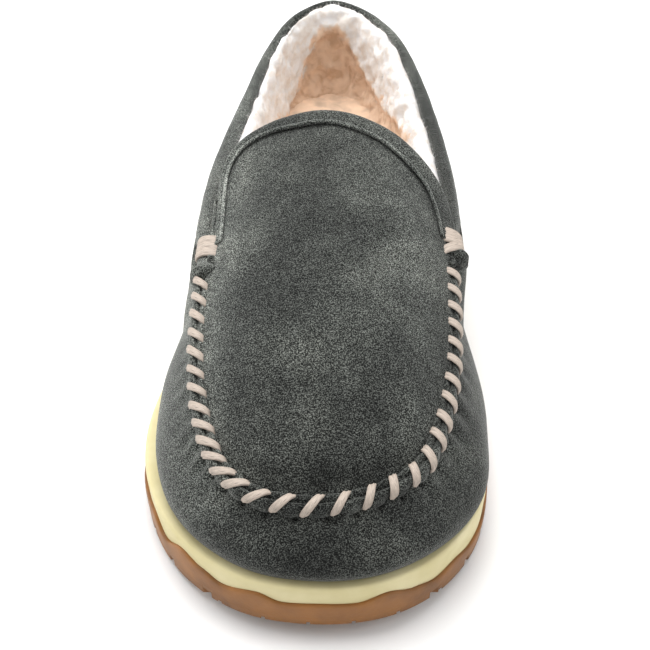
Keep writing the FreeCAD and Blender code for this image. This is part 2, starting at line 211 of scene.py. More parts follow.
SOLE = Line([(x, y, 0) for x, y in SOLE_OUTLINE], closed=True)
HEIGHTS = np.array(MIDSOLE_TOP, float)
SEAM_LINE = Line(SEAM)
TOPLINE_LINE = Line(TOPLINE)
THROAT_LINE = Line(THROAT)
PLUG_LINE = Line(PLUG_STATIONS)


def midsole_top(y):
    return float(np.interp(y, HEIGHTS[:, 0], HEIGHTS[:, 1]))


def ground(y):
    """Height of the tread, flat under the ball and heel and rising under the toes."""
    ahead = max(BALL_Y - y, 0.0)
    return TOE_SPRING_RADIUS - math.sqrt(TOE_SPRING_RADIUS**2 - ahead**2)


def outward(line, share):
    """The level direction to the right of a line, which is out of the sole."""
    return level_right(line.tangent(share))


def lip_width(share):
    """How far the midsole stands out round the upper: least at the outer side of the toe."""
    outer = bell(share, 0.59, 0.035)
    inner = bell(share, 0.40, 0.03)
    return 4.5 - 2.8 * outer - 1.0 * inner


def sole_edge(share, setback, swell):
    """A point inside the sole's outline, which swells out at the inner side of the ball."""
    swell *= bell(share, 0.374, 0.04)
    return SOLE.at(share) - outward(SOLE, share) * (setback - swell)


def stitch_share(turn, count):
    """Where a stitch crosses the seam: they bunch up a little before the toe."""
    share = turn / (count - 1)
    return share - 0.031 * bell(share, 0.42, 0.12)


class WallSurface:
    """The shoe's wall from the heel round the toe and back, between the sole and its upper edge."""

    def __init__(self, drop, rear=70, front=160):
        heel_gap = 0.3 / SOLE.length
        inner = SOLE.nearest(-55, -48)
        outer = SOLE.nearest(51, -46)
        top = TOPLINE_LINE
        middle = top.nearest(*TOPLINE[len(TOPLINE) // 2][:2])
        parts = [
            (np.linspace(heel_gap, inner, rear), top, np.linspace(middle, 0, rear), 5.0),
            (np.linspace(inner, outer, front), SEAM_LINE, np.linspace(0, 1, front), 6.0),
            (np.linspace(outer, 1 - heel_gap, rear), top, np.linspace(1, middle, rear), 5.0),
        ]
        rows = []
        for shares, line, tops, most in parts:
            for i, (share, top_share) in enumerate(zip(shares, tops)):
                out = outward(SOLE, share)
                edge = line.at(top_share)
                if line is SEAM_LINE:
                    edge = edge + out * 0.5 - np.array([0, 0, 1.0])
                else:
                    edge = edge + out * TOPLINE_SPREAD - np.array([0, 0, drop])
                base = SOLE.at(share) - out * lip_width(share)
                base[2] = midsole_top(base[1]) - 0.4
                level = np.array([-out[1], out[0], 0.0])
                edge = edge - level * np.dot(edge - base, level)
                swell = 4.0 + (most - 4.0) * math.sin(math.pi * i / (len(shares) - 1))
                gap_in = abs(share - inner) * SOLE.length
                gap_out = abs(share - outer) * SOLE.length
                swell -= 1.2 * bell(gap_in, 0.0, 24) + 2.8 * bell(gap_out, 0.0, 24)
                rows.append(np.concatenate([base, edge, out, [swell]]))
        blurred = np.array(rows)
        for _ in range(4):
            blurred[1:-1] = (blurred[:-2] + 2 * blurred[1:-1] + blurred[2:]) / 4
        self.rows = blurred
        last = len(rows) - 1
        self.front = ((rear - 0.5) / last, (rear + front - 0.5) / last)
        self.inner_pace = (rear - 1) / last / ((inner - heel_gap) * SOLE.length)
        self.outer_pace = (rear - 1) / last / ((1 - heel_gap - outer) * SOLE.length)

    def point(self, u, v, depth=0.0):
        """The point at share u round the wall and v up it, a depth inside its face."""
        place = min(max(u, 0.0), 1.0) * (len(self.rows) - 1)
        i = min(int(place), len(self.rows) - 2)
        row = self.rows[i] * (1 - place + i) + self.rows[i + 1] * (place - i)
        base, top, out, swell = row[0:3], row[3:6], row[6:9], row[9]
        rise = top[2] - base[2]
        up = np.array([0.0, 0.0, 1.0])
        handles = [base, base + out * swell + up * rise * 0.45,
                   top + out * swell * 0.8 - up * rise * 0.35, top]
        rest = 1 - v
        point = (handles[0] * rest**3 + handles[1] * 3 * rest**2 * v
                 + handles[2] * 3 * rest * v**2 + handles[3] * v**3)
        slope = ((handles[1] - handles[0]) * 3 * rest**2 + (handles[2] - handles[1]) * 6 * rest * v
                 + (handles[3] - handles[2]) * 3 * v**2)
        normal = out * slope[2] - up * np.dot(slope, out)
        normal /= np.linalg.norm(normal)
        return point - normal * depth, normal

    def beside_heel(self, run, v, lift=0.0):
        """The point a run of millimetres from the back seam, inner side first."""
        u = run * self.inner_pace if run >= 0 else 1 + run * self.outer_pace
        return self.point(u, v, -lift)[0]


def plug_height(x, y):
    """Height of the domed plug's top, with its cross section at Y read from the stations."""
    rows = PLUG_LINE.points
    y = min(max(y, rows[0, 0]), rows[-1, 0])
    left, right, edge, middle = (np.interp(y, rows[:, 0], rows[:, k]) for k in (1, 2, 3, 4))
    share = abs(x - (left + right) / 2) / ((right - left) / 2)
    return middle - (middle - edge) * min(share, 1.15) ** 2.3


# ---------------------------------------------------------------------------- making of meshes


def grid_mesh(columns, rows, place, wrap=False):
    """A grid laid on a surface: place gives the point at shares u and v of its two ways.

    With wrap, its first and last edges meet and are joined.
    """
    bm = bmesh.new()
    bm.loops.layers.uv.new("UVMap")
    bmesh.ops.create_grid(bm, x_segments=columns, y_segments=rows, size=0.5, calc_uvs=True)
    for vert in bm.verts:
        vert.co = place(vert.co.x + 0.5, vert.co.y + 0.5)
    if wrap:
        edge_verts = [v for v in bm.verts if v.is_boundary]
        bmesh.ops.remove_doubles(bm, verts=edge_verts, dist=1e-6)
    return bm


def sheet_mesh(columns, rows, place):
    """An open sheet with its faces turned outwards."""
    bm = grid_mesh(columns, rows, place)
    bmesh.ops.recalc_face_normals(bm, faces=bm.faces[:])
    return bm


def close_ends(bm):
    """Cap what is still open, and turn the faces outwards."""
    open_edges = [e for e in bm.edges if e.is_boundary]
    if open_edges:
        bmesh.ops.holes_fill(bm, edges=open_edges, sides=0)
        caps = [f for f in bm.faces if len(f.verts) > 4]
        bmesh.ops.triangulate(bm, faces=caps)
    bmesh.ops.recalc_face_normals(bm, faces=bm.faces[:])


def finish_piece(bm, name, node, material):
    """Turn a bmesh into a piece that rides on the slipper and stands for a node."""
    mesh = bpy.data.meshes.new(name)
    bm.to_mesh(mesh)
    bm.free()
    mesh.shade_smooth()
    mesh.materials.append(material)
    piece = bpy.data.objects.new(name, mesh)
    bpy.context.scene.collection.objects.link(piece)
    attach(piece, BODY)
    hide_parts(node)
    return piece


def suede_piece(bm, name, node, finish="suede"):
    return finish_piece(bm, name, node, material_of(finish))


def tube_mesh(along, around, place):
    """A tube: place gives the point at a share of its length and an angle round it."""
    bm = grid_mesh(along, around, lambda u, v: place(u, v * 2 * math.pi), wrap=True)
    close_ends(bm)
    return bm


def roughen(bm, amount, size, octaves=3, seed=0.0, share=None):
    """Push points along their normals by smooth noise, with features of about this size."""
    bm.normal_update()
    shift = Vector((seed, seed * 1.7, seed * 2.3))
    moves = []
    for vert in bm.verts:
        height = noise.fractal(vert.co / size + shift, 1.0, 2.0, octaves)
        if share is not None:
            height *= share(vert)
        moves.append((vert, vert.normal * (height * amount)))
    for vert, move in moves:
        vert.co += move


# ---------------------------------------------------------------------------- materials


def new_material(name):
    material = bpy.data.materials.new(name)
    material.use_nodes = True
    tree = material.node_tree
    return material, tree, tree.nodes["Principled BSDF"]


def new_finish(name, roughness, specular=None, sheen=0.0):
    """A material whose patterns follow each piece's own place, with its roughness and shine."""
    material, tree, shader = new_material(name)
    shader.inputs["Roughness"].default_value = roughness
    if specular is not None:
        shader.inputs["Specular IOR Level"].default_value = specular
    shader.inputs["Sheen Weight"].default_value = sheen
    return material, tree, shader, add(tree, "ShaderNodeTexCoord").outputs["Object"]


def add(tree, kind, inputs=None, **settings):
    """Add a node, set its settings and feed its inputs with values or other nodes' outputs."""
    node = tree.nodes.new(kind)
    for key, value in settings.items():
        setattr(node, key, value)
    for key, value in (inputs or {}).items():
        if isinstance(value, bpy.types.NodeSocket):
            tree.links.new(value, node.inputs[key])
        else:
            node.inputs[key].default_value = value
    return node


def linear(rgb, gain=1.0):
    """A display colour as the light it reflects."""
    values = [c / 12.92 if c <= 0.04045 else ((c + 0.055) / 1.055) ** 2.4 for c in rgb]
    return (*[v * gain for v in values], 1.0)


def tinted(rgb, *scales):
    """A display colour with its channels scaled by one number or by three, as linear light."""
    if len(scales) == 1:
        scales = scales * 3
    return linear([min(c * scale, 1.0) for c, scale in zip(rgb, scales)])


def grey(value):
    return (value, value, value, 1)


def ramp(tree, fac, stops):
    node = add(tree, "ShaderNodeValToRGB", {"Fac": fac})
    elements = node.color_ramp.elements
    while len(elements) < len(stops):
        elements.new(0.5)
    for element, (position, colour) in zip(elements, stops):
        element.position = position
        element.color = colour
    return node.outputs["Color"]


def noise_on(tree, coordinates, size, detail=3.0, distortion=0.0):
    """Noise with features of about this size in metres."""
    node = add(tree, "ShaderNodeTexNoise", {
        "Vector": coordinates, "Scale": 1.0 / size, "Detail": detail, "Distortion": distortion})
    return node.outputs["Fac"]


def maths(tree, operation, a, b):
    return add(tree, "ShaderNodeMath", {0: a, 1: b}, operation=operation).outputs[0]


def span(tree, value, low, high):
    """A value as its share of the way from low to high."""
    node = add(tree, "ShaderNodeMapRange", {"Value": value, "From Min": low, "From Max": high})
    return node.outputs["Result"]


def mix(tree, fac, a, b, blend="MIX"):
    node = add(tree, "ShaderNodeMix", data_type="RGBA", blend_type=blend)
    for index, value in ((0, fac), (6, a), (7, b)):
        if isinstance(value, bpy.types.NodeSocket):
            tree.links.new(value, node.inputs[index])
        else:
            node.inputs[index].default_value = value
    return node.outputs[2]


def surface(tree, shader, colour, height, strength, distance):
    """Give the shader its colour and a bump of this height."""
    tree.links.new(colour, shader.inputs["Base Color"])
    bump = add(tree, "ShaderNodeBump", {
        "Strength": strength, "Distance": distance, "Height": height})
    tree.links.new(bump.outputs["Normal"], shader.inputs["Normal"])


# Painted light and shade across the suede from its left side to its right: gains over 1 brighten the
# left side as if lit from the left, gains under 1 darken the right side.
PAINTED_SIDE_LIGHT_GAINS = [
    (0, 1.45), (0.1, 1.3), (0.17, 1.4), (0.26, 1.0), (0.36, 0.84), (0.5, 0.8), (0.68, 0.88),
    (0.8, 1.12), (0.87, 0.88), (0.93, 0.7), (1, 0.52),
]


def suede_material(colours, name="charcoal_suede", gain=1.0):
    """Brushed suede: cloudy patches of laid and raised nap, fine flecks and a soft sheen, with painted
    light on its left side, painted shade on its right side and painted shade on the front of the toe.
    """
    material, tree, shader, place = new_finish(name, 0.95, 0.12, 0.42)
    shader.inputs["Sheen Roughness"].default_value = 0.35
    shader.inputs["Sheen Tint"].default_value = (0.85, 0.86, 0.82, 1)
    parts = add(tree, "ShaderNodeSeparateXYZ", {"Vector": place})
    patches = noise_on(tree, place, 0.028, 4.0, 0.5)
    colour = ramp(tree, patches, [
        (0.36, linear(colours.suede_dark, gain)), (0.52, linear(colours.suede, gain)),
        (0.70, linear(colours.suede_light, gain))])
    brushed = noise_on(tree, place, 0.005, 3.0, 0.8)
    flecks = noise_on(tree, place, 0.00034, 2.0)
    # Painted light and shade: the suede's colour is brightened on its left side and darkened on its
    # right side by the gains of this ramp.
    across = span(tree, parts.outputs["X"], -0.05, 0.05)
    # Painted shade on the front of the toe: the suede darkens to 0.66 of its colour towards the toe's
    # front, which faces away from the light.
    along = span(tree, parts.outputs["Y"], -0.145, -0.085)
    for pattern, stops in (
            (brushed, [(0.35, grey(0.86)), (0.65, grey(1.12))]),
            (flecks, [(0.37, grey(0.1)), (0.5, grey(0.75)), (0.63, (4.5, 4.5, 4.4, 1))]),
            (across, [(share, grey(gain_there)) for share, gain_there in PAINTED_SIDE_LIGHT_GAINS]),
            (along, [(0.0, grey(0.66)), (1.0, grey(1))])):
        colour = mix(tree, 1.0, colour, ramp(tree, pattern, stops), "MULTIPLY")
    surface(tree, shader, colour, noise_on(tree, place, 0.0006, 3.0), 0.7, 0.0006)
    return material


def tan_and_shade_mask(tree, place):
    """White below the edge of the heel's hollow, where the pile turns tan, partly its own tan and
    partly painted shade, with tufts hanging over the edge.
    """
    parts = add(tree, "ShaderNodeSeparateXYZ", {"Vector": place})
    first, last = HOLLOW_EDGE_HEIGHTS[0][0], HOLLOW_EDGE_HEIGHTS[-1][0]
    across = span(tree, parts.outputs["X"], first * MM, last * MM)
    edge = ramp(tree, across, [((x - first) / (last - first), grey(z / 100)) for x, z in HOLLOW_EDGE_HEIGHTS])
    height = maths(tree, "MULTIPLY", parts.outputs["Z"], 10.0)
    above = maths(tree, "SUBTRACT", height, edge)
    tufts = maths(tree, "MULTIPLY", noise_on(tree, place, 0.0065, 3.0), 0.26)
    wander = maths(tree, "ADD", above, tufts)
    return ramp(tree, wander, [(0.11, grey(1)), (0.125, grey(0.75)), (0.15, grey(0))])


def pile_material(colours, name="cream_pile", heel_hollow=True):
    """Fleecy pile: pale tips, warmer roots, and tan in the heel's hollow, partly the pile's own tan and
    partly painted shade.
    """
    material, tree, shader, place = new_finish(name, 0.95, 0.1, 0.3)
    clumps = noise_on(tree, place, 0.004, 4.0, 0.4)
    colour = ramp(tree, clumps, [
        (0.28, tinted(colours.pile, 0.95, 0.92, 0.89)), (0.42, tinted(colours.pile, 0.98, 0.96, 0.935)),
        (0.56, linear(colours.pile))])
    # Below the hollow's edge the pile turns tan: partly the pile's own tan, partly painted shade of the
    # deep heel hollow.
    if heel_hollow:
        pressed = ramp(tree, noise_on(tree, place, 0.006, 5.0, 0.6), [
            (0.36, (0.8, 0.74, 0.68, 1)), (0.5, grey(1)), (0.66, (1.08, 1.1, 1.12, 1))])
        tan = mix(tree, 1.0, linear(colours.tan), pressed, "MULTIPLY")
        colour = mix(tree, tan_and_shade_mask(tree, place), colour, tan)
    surface(tree, shader, colour, noise_on(tree, place, 0.0009, 4.0, 0.8), 0.35, 0.0006)
    return material


def footbed_material(colours):
    """Short tan pile, pressed down in patches."""
    material, tree, shader, place = new_finish("tan_short_pile", 0.95, 0.1, 0.2)
    patches = noise_on(tree, place, 0.012, 4.0, 0.5)
    colour = ramp(tree, patches, [
        (0.3, tinted(colours.tan, 0.86)), (0.5, linear(colours.tan)), (0.7, tinted(colours.tan, 1.1))])
    surface(tree, shader, colour, noise_on(tree, place, 0.0008, 3.0), 0.5, 0.0005)
    return material


def cord_material(colours):
    """Waxed flat cord: fine fibres along its length, read from its own UV map."""
    material, tree, shader = new_material("waxed_cream_cord")
    shader.inputs["Roughness"].default_value = 0.55
    shader.inputs["Specular IOR Level"].default_value = 0.35
    coordinates = add(tree, "ShaderNodeUVMap", uv_map="UVMap").outputs["UV"]
    stretched = add(tree, "ShaderNodeMapping", {
        "Vector": coordinates, "Scale": (3.0, 36.0, 1.0)}).outputs["Vector"]
    fibres = add(tree, "ShaderNodeTexNoise", {
        "Vector": stretched, "Scale": 2.2, "Detail": 3.0, "Distortion": 0.3}).outputs["Fac"]
    colour = ramp(tree, fibres, [
        (0.3, tinted(colours.cord, 0.66)), (0.5, linear(colours.cord)),
        (0.7, tinted(colours.cord, 1.09))])
    surface(tree, shader, colour, fibres, 0.5, 0.0003)
    return material


def foam_material(colours):
    """Moulded foam with a faint skin texture and a slightly soiled, yellowed tone."""
    material, tree, shader, place = new_finish("cream_foam", 0.6, 0.3)
    stains = noise_on(tree, place, 0.018, 4.0)
    colour = ramp(tree, stains, [
        (0.35, tinted(colours.midsole, 0.93, 0.92, 0.86)), (0.65, linear(colours.midsole))])
    surface(tree, shader, colour, noise_on(tree, place, 0.0007, 2.0), 0.2, 0.0002)
    return material


def gum_material(colours):
    """Gum rubber: warm brown, and rubbed pale in places."""
    material, tree, shader, place = new_finish("gum_rubber", 0.48, 0.4)
    cloud = noise_on(tree, place, 0.011, 4.0, 0.3)
    colour = ramp(tree, cloud, [
        (0.3, tinted(colours.gum, 0.82, 0.80, 0.76)), (0.52, linear(colours.gum)),
        (0.74, tinted(colours.gum, 1.13))])
    surface(tree, shader, colour, noise_on(tree, place, 0.001, 3.0), 0.25, 0.0003)
    return material


def plain_material(name, rgb, roughness):
    """Board or foam inside the shoe, with a faint fibrous mottle."""
    material, tree, shader, place = new_finish(name, roughness)
    mottle = noise_on(tree, place, 0.003, 4.0)
    colour = ramp(tree, mottle, [(0.3, tinted(rgb, 0.85)), (0.7, linear(rgb))])
    tree.links.new(colour, shader.inputs["Base Color"])
    return material


MATERIALS = {}


def material_of(key):
    """Each finish is made once and shared by its pieces."""
    if key not in MATERIALS:
        colours = bpy.context.scene.slipper_colours
        makers = {
            "suede": lambda: suede_material(colours),
            # A copy of the suede 1.7 times as bright for the raised piping: a painted highlight.
            "painted_highlight_suede": lambda: suede_material(colours, "painted_highlight_suede", 1.7),
            "pile": lambda: pile_material(colours),
            "inner_pile": lambda: pile_material(colours, "inner_pile", heel_hollow=False),
            "footbed": lambda: footbed_material(colours),
            "cord": lambda: cord_material(colours),
            "foam": lambda: foam_material(colours),
            "gum": lambda: gum_material(colours),
            "board": lambda: plain_material("fibre_board", (0.62, 0.52, 0.40), 0.8),
            "cushion": lambda: plain_material("cushion_foam", (0.86, 0.82, 0.72), 0.9),
            "counter": lambda: plain_material("counter_board", (0.78, 0.76, 0.72), 0.6),
        }
        MATERIALS[key] = makers[key]()
    return MATERIALS[key]


# ---------------------------------------------------------------------------- the pieces


def seam_frame(share):
    """Place, direction, outward and up at a share of the seam."""
    place = SEAM_LINE.at(share)
    tangent = SEAM_LINE.tangent(share)
    out = level_right(tangent)
    up = np.cross(out, tangent)
    up *= math.copysign(1.0, up[2])
    return place - out * (0.8 + 0.3 * out[0]) + up * 0.2, tangent, out, up


def stitch_places(count):
    return [stitch_share(i, count) for i in range(count)]


def pinch(share, places, length, width):
    """How close a share of the seam is to a stitch: 1 at a stitch and 0 between two."""
    gap = min(abs(share - p) for p in places) * length
    return bell(gap, 0.0, width)


def make_wall(sizes):
    """The suede wall, gathered under the seam and dimpled where the cord goes in."""
    surface = WallSurface(6.6)
    places = stitch_places(sizes.stitches)
    first, last = surface.front
    length = SEAM_LINE.length
    lead = 3.0 / length

    def place(u, v):
        v = v**0.8
        point, normal = surface.point(u, v)
        share = (u - first) / (last - first)
        if -0.02 < share < 1.02 and v > 0.5:
            near_top = ease((v - 0.55) / 0.4)
            gather = pinch(share + lead, places, length, 2.0)
            fold = noise.noise(Vector((share * length / 3.2, 5.0, 0.0)))
            point = point + normal * near_top * (0.45 - 0.95 * gather + 0.25 * fold)
            hole = bell(v, 0.90, 0.03) * pinch(share + lead, places, length, 0.8)
            hole *= ease(min(share - 0.01, 0.99 - share) / 0.03)
            point = point - normal * hole * 1.5
        wave = noise.fractal(Vector(point) / 34.0, 1.0, 2.0, 2)
        point = point + normal * wave * 0.7 * ease(v / 0.2) * ease((1 - v) / 0.15)
        return placed(*point)

    bm = sheet_mesh(860, 46, place)
    piece = suede_piece(bm, "suede_wall", "moccasin_wall")
    thicken(piece, sizes.suede)
    return piece


def thicken(piece, thickness):
    """Give a sheet of leather its thickness on the inner side."""
    shell = piece.modifiers.new("Thickness", "SOLIDIFY")
    shell.thickness = thickness
    shell.offset = -1.0


def make_back_stay():
    """The strip over the back seam, rounded at its edges."""
    surface = WallSurface(6.6)
    half_width = 8.5

    def place(u, v):
        side = u * 2 - 1
        rim = min(1.0, (1 - abs(side)) / 0.14)
        lift = 1.2 * math.sqrt(1 - (1 - rim) ** 2)
        return placed(*surface.beside_heel(side * half_width, 0.01 + v * 0.99, lift))

    bm = sheet_mesh(34, 40, place)
    piece = suede_piece(bm, "back_stay_strip", "back_stay")
    thicken(piece, 0.001)
    return piece


def make_plug(sizes):
    """The domed plug, puckered along its sewn edge and gently uneven like well-used suede."""
    places = stitch_places(sizes.stitches)
    length = SEAM_LINE.length
    lag = -3.0 / length

    def place(u, v):
        v = v**1.25
        start = SEAM_LINE.at(u)
        end = THROAT_LINE.at(u)
        tangent = SEAM_LINE.tangent(u)
        inward = -np.array([tangent[1], -tangent[0]]) / math.hypot(tangent[0], tangent[1])
        x, y = start[:2] * (1 - v) + end * v
        bend = 9.0 * v * (1 - v) ** 2
        x, y = x + inward[0] * bend, y + inward[1] * bend
        z = plug_height(x, y)
        near = ease(1 - v / 0.07)
        z = z * (1 - near) + (start[2] - 0.4) * near
        gather = pinch(u + lag, places, length, 2.2) * math.exp(-v / 0.05)
        z -= 0.9 * gather
        hollow = bell(v, 0.06, 0.05)
        z -= 0.5 * hollow
        z += 0.75 * noise.fractal(Vector((x, y, 7.0)) / 30.0, 1.0, 2.0, 2) * ease(v / 0.1)
        return placed(x, y, z)

    bm = sheet_mesh(420, 110, place)
    piece = suede_piece(bm, "suede_plug", "plug")
    thicken(piece, sizes.suede)
    return piece


RIDGE_PROFILE = [
    (2.2, -2.6), (2.4, -1.0), (2.1, 0.4), (1.3, 1.2), (0.5, 0.9), (0.05, 0.2), (-0.4, 1.0),
    (-1.2, 1.7), (-2.0, 1.1), (-2.2, -0.2), (-2.0, -2.2), (0.1, -2.9),
]


def make_ridge(sizes):
    """The raised seam: two rolled edges side by side, pinched under each turn of cord."""
    places = stitch_places(sizes.stitches)
    length = SEAM_LINE.length
    profile = Line(RIDGE_PROFILE, closed=True)
    lean = sizes.cord_lean / MM

    def place(u, angle):
        side, height = profile.at(angle / (2 * math.pi))
        seat, _, out, up = seam_frame(u)
        crossing = u + side / 2.6 * 0.4 * lean / length
        tight = pinch(crossing, places, length, 1.9)
        swell = 1.12 - 0.26 * tight
        swell += 0.08 * noise.noise(Vector((u * length / 2.5, side * 0.3, 3.0)))
        end = min(u, 1 - u) * length
        swell *= 0.55 + 0.45 * ease(end / 3.0)
        return placed(*(seat + (out * side + up * height) * swell))

    bm = tube_mesh(900, 40, place)
    return suede_piece(bm, "seam_ridge_rolls", "seam_ridge")


def cord_bar(bm, path, normals, width, thickness, plies=4, steps=18, around=20):
    """Add a flat bar of cord to a mesh, its plies running along a smooth path."""
    line = Line(path)
    normal_line = Line(normals)
    made = bmesh.new()
    uv = made.loops.layers.uv.new("UVMap")
    bmesh.ops.create_grid(made, x_segments=steps, y_segments=around, size=0.5, calc_uvs=True)
    for vert in made.verts:
        u, v = vert.co.x + 0.5, vert.co.y + 0.5
        angle = v * 2 * math.pi
        centre = line.at(u)
        tangent = line.tangent(min(max(u, 0.02), 0.98))
        guide = normal_line.at(u)
        across = np.cross(tangent, guide)
        across /= np.linalg.norm(across)
        outside = np.cross(across, tangent)
        c, s = math.cos(angle), math.sin(angle)
        flat = math.copysign(abs(c) ** 0.8, c) * width / 2
        ply = 1 + 0.3 * math.cos(flat / width * plies * 2 * math.pi + u * 3.0)
        high = math.copysign(abs(s) ** 0.65, s) * thickness / 2 * ply
        taper = 0.72 + 0.28 * ease(min(u, 1 - u) / 0.22)
        vert.co = placed(*(centre + across * flat * taper + outside * high))
    bmesh.ops.remove_doubles(made, verts=[v for v in made.verts if v.is_boundary], dist=1e-6)
    close_ends(made)
    mesh = bpy.data.meshes.new("bar")
    made.to_mesh(mesh)
    made.free()
    bm.from_mesh(mesh)
    bpy.data.meshes.remove(mesh)
    return uv


STITCH_PATH = [
    (1.9, -2.0, -0.50), (2.3, -1.3, -0.46), (2.45, -0.3, -0.36), (2.0, 0.8, -0.20),
    (0.8, 1.6, 0.02), (-0.7, 1.75, 0.24), (-1.75, 1.1, 0.40), (-2.1, 0.1, 0.48), (-1.9, -1.0, 0.50),
]


def stitch_over(bm, share, scale, lean, width, thickness):
    """One turn of cord over the seam, from the wall's side to the plug's side."""
    place, tangent, out, up = seam_frame(share)
    path, normals = [], []
    for side, height, run in STITCH_PATH:
        path.append(place + (out * side + up * height) * scale + tangent * (run * lean))
        normals.append(out * side * 0.9 + up * (height + 1.2))
    cord_bar(bm, path, normals, width, thickness)


def make_lacing(sizes):
    """The whipstitch: flat cord laid over the ridge in leaning turns."""
    chance = random.Random(11)
    bm = bmesh.new()
    for share in stitch_places(sizes.stitches):
        lean = sizes.cord_lean / MM
        lean -= 2.0 * ease((share - 0.5) / 0.1) + bell(share, 0.6, 0.07)
        lean += chance.uniform(-0.4, 0.4)
        width = sizes.cord_width / MM * chance.uniform(0.94, 1.06)
        share += chance.uniform(-0.0012, 0.0012)
        scale = chance.uniform(1.08, 1.13) - 0.13 * bell(share, 0.38, 0.08)
        stitch_over(bm, share, scale, lean, width, sizes.cord_thickness / MM)
    return finish_piece(bm, "whipstitch_cord", "whipstitch_lacing",
                        material_of("cord"))


def wrap_frame(outer):
    """Centre, direction, outward and up where the cord ties down a band's end."""
    centre = np.array([38.9, -40.6, 61.6]) if outer else np.array([-39.9, -43.5, 61.2])
    side = 1.0 if outer else -1.0
    way = np.array([side * 0.05, -1.0, -0.24])
    way /= np.linalg.norm(way)
    out = np.array([side, 0.0, 0.0])
    up = np.cross(out, way)
    return centre, way, out, up * math.copysign(1.0, up[2])


def make_wrap(sizes, outer):
    """Turns of cord that tie down an end of the collar's band, the last one slanting."""
    centre, way, out, up = wrap_frame(outer)
    bm = bmesh.new()
    slants = [(-3.1, 0.14, 0.9), (-0.5, -0.04, 0.9), (2.3, 0.28, 0.2)]
    if outer:
        slants = [(-3.9, -0.75, 1.2), (-1.1, -0.6, 1.0), (3.2, 1.0, -0.6)]
    for offset, slant, run_scale in slants:
        path, normals = [], []
        for side, height, run in STITCH_PATH:
            shift = offset - slant * side + run * run_scale
            path.append(centre + out * side * 1.9 + up * height * 1.75 + way * shift)
            normals.append(out * side + up * (height + 1.0))
        cord_bar(bm, path, normals, sizes.cord_width / MM * 1.45, sizes.cord_thickness / MM * 1.15)
    node = "bar_wrap_lateral" if outer else "bar_wrap_medial"
    name = "cord_wrap_outer" if outer else "cord_wrap_inner"
    return finish_piece(bm, name, node, material_of("cord"))


BAND_PROFILE = [
    (-0.1, -7.6), (0.15, -5.6), (0.1, -3.2), (-0.35, -1.2), (-1.2, 0.1), (-2.3, 0.55), (-3.3, 0.1),
    (-3.75, -1.2), (-3.7, -5.6), (-2.0, -7.8),
]


def band_route():
    """The topline with its two ends carried on towards the toe as tabs."""
    inner, outer = TOPLINE[0], TOPLINE[-1]
    start = [(inner[0] + 0.3, inner[1] - 10.2, inner[2] - 0.9),
             (inner[0] + 0.4, inner[1] - 6, inner[2] - 0.3)]
    end = [(outer[0] + 0.3, outer[1] - 2, outer[2] - 0.2),
           (outer[0] + 0.9, outer[1] - 5.0, outer[2] - 0.8)]
    return Line(start + TOPLINE + end)


def make_collar_band():
    """The folded suede band on the topline, drawn in where the cord ties its ends."""
    route = band_route()
    profile = Line(BAND_PROFILE, closed=True)
    insets = np.array(BAND_INSETS)

    def place(u, angle):
        side, height = profile.at(angle / (2 * math.pi))
        spot = route.at(u)
        tangent = route.tangent(min(max(u, 0.004), 0.996))
        out = level_right(tangent, -1.0)
        width = np.interp(u, insets[:, 0], insets[:, 1])
        end = min(u, 1 - u) * route.length
        tied = bell(end, 9.5, 4.5)
        front = ease((26.0 - end) / 12.0)
        width *= 1 - 0.1 * tied
        height *= 1 - 0.25 * front * ease((height + 7.6) / 4.0)
        height += 0.5 * front
        tab = ease(1 - end / 5.5)
        width *= 1 + 0.45 * tab
        height += 1.4 * tab
        spread = TOPLINE_SPREAD * (1 - front) + (1.2 if u < 0.5 else 2.0) * tab
        spot = spot + out * (side * width + spread) + np.array([0, 0, height - 0.7 * tied])
        wrinkle = noise.fractal(Vector(spot) / 8.0, 1.0, 2.0, 2)
        spot = spot + out * wrinkle * (0.15 + 0.35 * tab)
        return placed(*spot)

    bm = tube_mesh(640, 26, place)
    return suede_piece(bm, "collar_suede_band", "collar_band")


THROAT_PROFILE = [
    (0.04, -2.0), (0.16, -0.5), (0.10, 0.7), (-0.10, 1.3), (-0.45, 1.2), (-0.80, 1.0),
    (-0.98, 0.6), (-1.0, -0.6), (-0.7, -1.4), (-0.25, -2.2),
]


def throat_frame(share):
    """Place on the plug's top at the throat line, its direction, and the way out of the plug."""
    x, y = THROAT_LINE.at(share)
    tangent = THROAT_LINE.tangent(min(max(share, 0.01), 0.99))
    back = np.array([-tangent[1], tangent[0]])
    return x, y, back


def throat_point(share, side, height):
    """A point beside the throat line, seated on the plug's top."""
    x, y, back = throat_frame(share)
    px, py = x + back[0] * side, y + back[1] * side
    sx, sy = x + back[0] * min(side, -0.2), y + back[1] * min(side, -0.2)
    return placed(px, py, plug_height(sx, sy) + height)


def throat_width(share):
    """The bound edge is widest in the middle and narrows towards the wraps."""
    widths = np.array(THROAT_WIDTHS)
    return float(np.interp(share, widths[:, 0], widths[:, 1]))


def make_throat_band():
    """The bound edge of the plug, a soft flat roll behind the piping."""
    profile = Line(THROAT_PROFILE, closed=True, steps=12)

    def place(u, angle):
        side, height = profile.at(angle / (2 * math.pi))
        spot = throat_point(u, side * throat_width(u), height)
        wrinkle = noise.fractal(spot / 0.012, 1.0, 2.0, 2)
        spot.z += wrinkle * 0.00018
        return spot

    bm = tube_mesh(360, 30, place)
    return suede_piece(bm, "throat_suede_band", "throat_band")


def make_throat_piping():
    """The thin raised cord under the suede along the front of the throat band, its suede 1.7 times as
    bright as a painted highlight.
    """
    radius = 0.7

    def place(u, angle):
        side = -throat_width(u) - 0.45 + radius * math.cos(angle)
        return throat_point(u, side, 1.05 + radius * math.sin(angle))

    bm = tube_mesh(360, 12, place)
    return suede_piece(bm, "throat_piping_line", "throat_piping", "painted_highlight_suede")


# Pile


